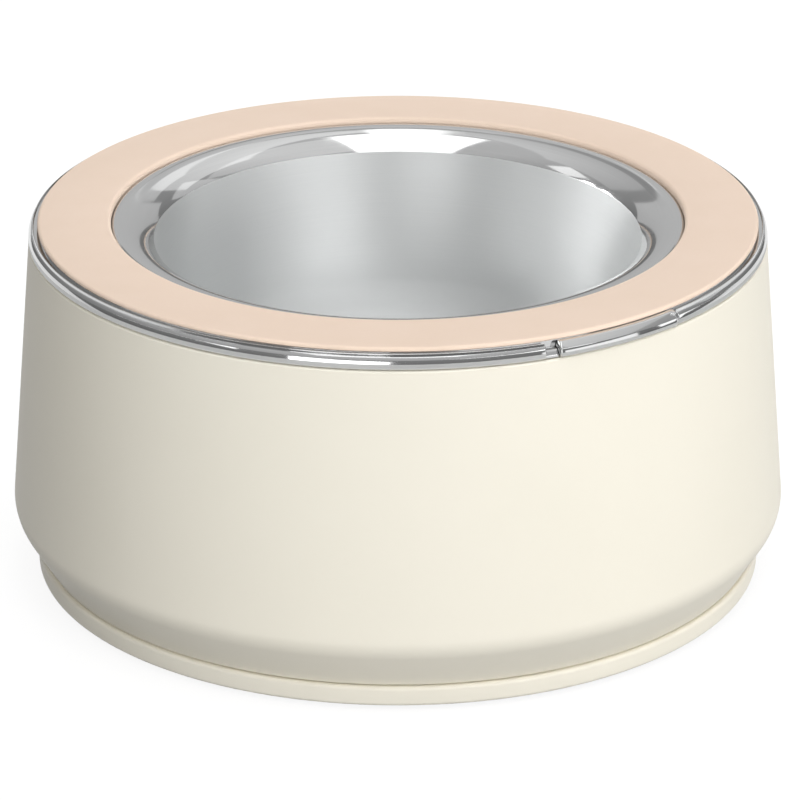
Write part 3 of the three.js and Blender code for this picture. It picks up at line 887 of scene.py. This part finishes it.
def around(azimuth, elevation, distance):  # a place in the studio: azimuth from the camera's side to the right
    a, e = math.radians(azimuth), math.radians(elevation)
    return Vector((math.sin(a) * math.cos(e), -math.cos(a) * math.cos(e), math.sin(e))) * distance


lamps = [  # name, azimuth and elevation and distance, size, level, what it lights
    ("key", (40, 33, 1.6), (1.1, 0.6), 2.7, "metal"),
    ("front", (-17, 13, 1.8), (0.9, 0.35), 3.2, "all"),
    ("top", (20, 62, 1.6), (0.8, 0.6), 2.35, "matte"),
    ("lowFront", (3, 8, 1.8), (0.9, 0.35), 4.2, "matte"),
    ("lowRight", (22, 4, 1.6), (1, 0.2), 15.8, "matte"),
    ("right", (98, 8, 1.6), (0.8, 0.3), 11.5, "matte"),
    ("back", (180, 8, 1.7), (0.9, 0.4), 18, "matte"),
    ("cardLeft", (-110, 32, 1.6), (0.336, 0.224), 17, "basin"),
    ("cardFarLeft", (-122, 26, 1.6), (0.25, 0.2), 20.5, "basin"),
    ("cardFarRight", (76, 28, 1.6), (0.25, 0.25), 4.8, "basin"),
    ("cardFront", (-20, 29, 1.6), (0.25, 0.2), 1.8, "basin"),
    ("cardFrontLeft", (-70, 21, 1.6), (1.25, 0.26), 2, "metal"),
    ("cardRight", (100, 12, 1.6), (1.1, 0.26), 1.5, "metal"),
    ("cardTab", (60, 9, 1.7), (0.75, 0.25), 1.2, "metal"),
    ("cardHigh", (-110, 46, 1.6), (0.4, 0.3), 0.8, "metal"),
    ("cardBack", (180, 20, 1.6), (1.8, 0.5), 0.34, "metal"),
    ("cardBackLeft", (-150, 48, 1.6), (1, 0.8), 0.18, "metal"),
    ("cardBackRight", (150, 48, 1.6), (1, 0.8), 0.42, "metal"),
    ("cardBackTop", (168, 36, 1.6), (0.62, 0.42), 0.32, "metal"),
    ("cardHighRight", (95, 64, 1.1), (0.8, 0.8), 0.25, "metal"),
    ("cardMidRight", (124, 33, 1.6), (0.75, 0.4), 0.35, "metal"),
]
makeFloor()
for name, where, size, level, lights in lamps:
    softbox(name, around(*where), -around(*where), size, level, lights)
# two boxes in line over the bowl, leaning back, that draw the white patch on the lip
lean = Vector((0, 0.538, -0.843))
softbox("overhead", (-0.03, 0.1, 0.987), lean, (0.4, 1.19), 1.4)
softbox("overheadBack", (-0.02, 1.25, 1.721), lean, (0.17, 1.54), 1.25)


# room round the floor: dim at eye level, paler towards the ceiling
def makeRoom():
    look = {"eye": 0.18, "wall": 0.37, "wallFrom": 30, "ceiling": 0.68, "ceilingFrom": 60}
    wallFrom = math.sin(math.radians(look["wallFrom"]))
    ceilingFrom = math.sin(math.radians(look["ceilingFrom"]))
    world = bpy.data.worlds.new("studio")
    scene.world = world
    world.use_nodes = True
    tree = world.node_tree
    tree.nodes.clear()
    heading = addNode(tree, "ShaderNodeTexCoord").outputs["Generated"]
    height = addNode(tree, "ShaderNodeSeparateXYZ", {0: heading}).outputs["Z"]
    toWall = addNode(tree, "ShaderNodeMapRange", {
        "Value": height, "From Max": wallFrom,
        "To Min": look["eye"], "To Max": look["wall"]}).outputs["Result"]
    toCeiling = addNode(tree, "ShaderNodeMapRange", {
        "Value": height, "From Min": wallFrom, "From Max": ceilingFrom,
        "To Min": 0, "To Max": look["ceiling"] - look["wall"]}).outputs["Result"]
    level = addNode(tree, "ShaderNodeMath", {0: toWall, 1: toCeiling}, operation="ADD").outputs["Value"]
    room = addNode(tree, "ShaderNodeBackground", {"Color": (1, 1, 1, 1), "Strength": level})
    addNode(tree, "ShaderNodeOutputWorld", {"Surface": room.outputs[0]})


makeRoom()
print("studio lit")
